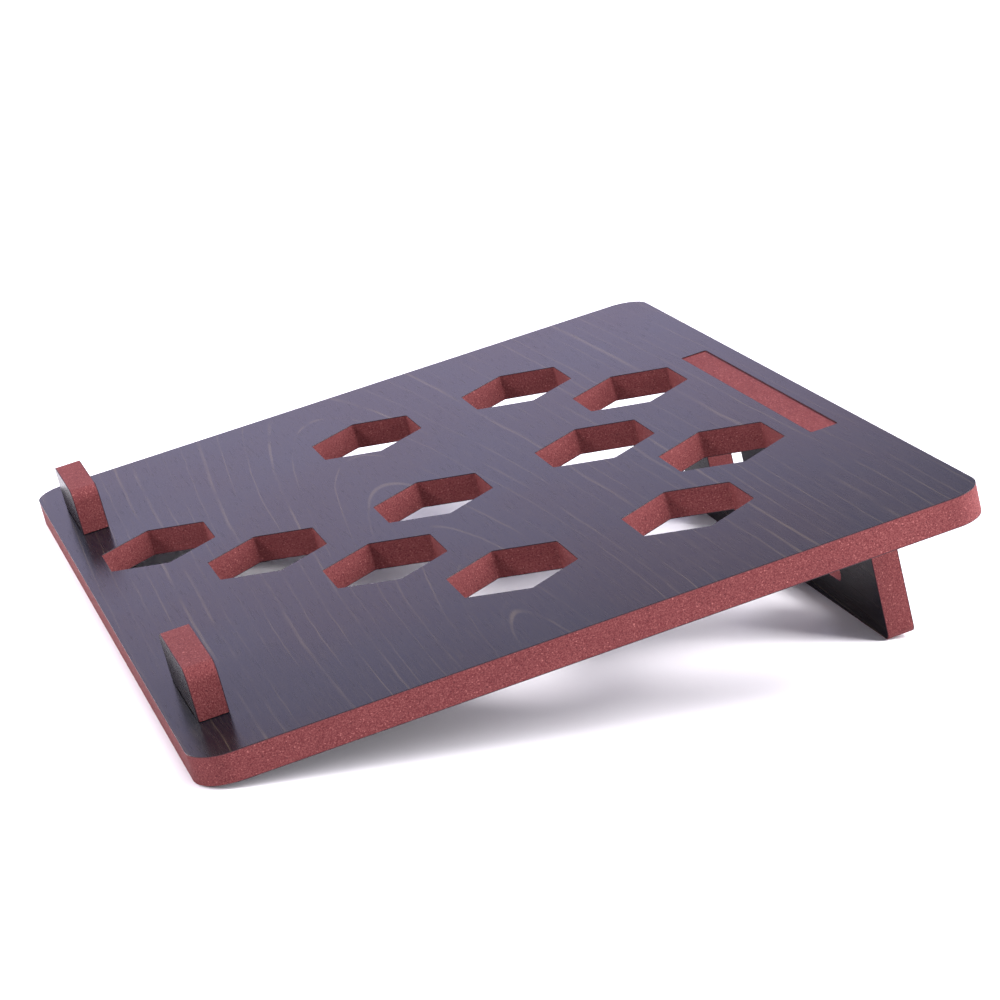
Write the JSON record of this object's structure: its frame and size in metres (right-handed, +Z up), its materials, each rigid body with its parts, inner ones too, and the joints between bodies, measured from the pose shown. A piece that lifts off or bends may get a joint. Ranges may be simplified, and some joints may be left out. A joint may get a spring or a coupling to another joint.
{
  "type": "laptop stand",
  "caption": "Sloping laptop stand of veneered fibreboard plates: a board with hexagonal vents, a plug-in rear leg and plug-in front stops.",
  "frame": {"origin": "on the table, under the middle of the stand's box", "axes": "+X to the user's right, +Y away from the user towards the high rear edge, +Z up from the table"},
  "size_m": [0.355, 0.2816, 0.0769],
  "materials": {
    "red_fibreboard": "routed, bare",
    "dark_veneer": "semi-gloss lacquer over fine straight grain"
  },
  "bodies": {
    "board": {"board_core": "red_fibreboard", "board_top_veneer": "dark_veneer", "board_underside_veneer": "dark_veneer"},
    "leg": {"leg_core": "red_fibreboard", "leg_front_veneer": "dark_veneer", "leg_rear_veneer": "dark_veneer"},
    "left_stop": {"left_stop_core": "red_fibreboard", "left_stop_front_veneer": "dark_veneer", "left_stop_rear_veneer": "dark_veneer"},
    "right_stop": {"right_stop_core": "red_fibreboard", "right_stop_front_veneer": "dark_veneer", "right_stop_rear_veneer": "dark_veneer"}
  },
  "joints": [
    {"name": "leg_slide", "type": "slide", "parent": "board", "child": "leg", "axis": [0, 0.2389, -0.9711], "range_m": [0, 0.012]},
    {"name": "left_stop_slide", "type": "slide", "parent": "board", "child": "left_stop", "axis": [0, -0.2389, 0.9711], "range_m": [0, 0.012]},
    {"name": "right_stop_slide", "type": "slide", "parent": "board", "child": "right_stop", "axis": [0, -0.2389, 0.9711], "range_m": [0, 0.012]}
  ]
}
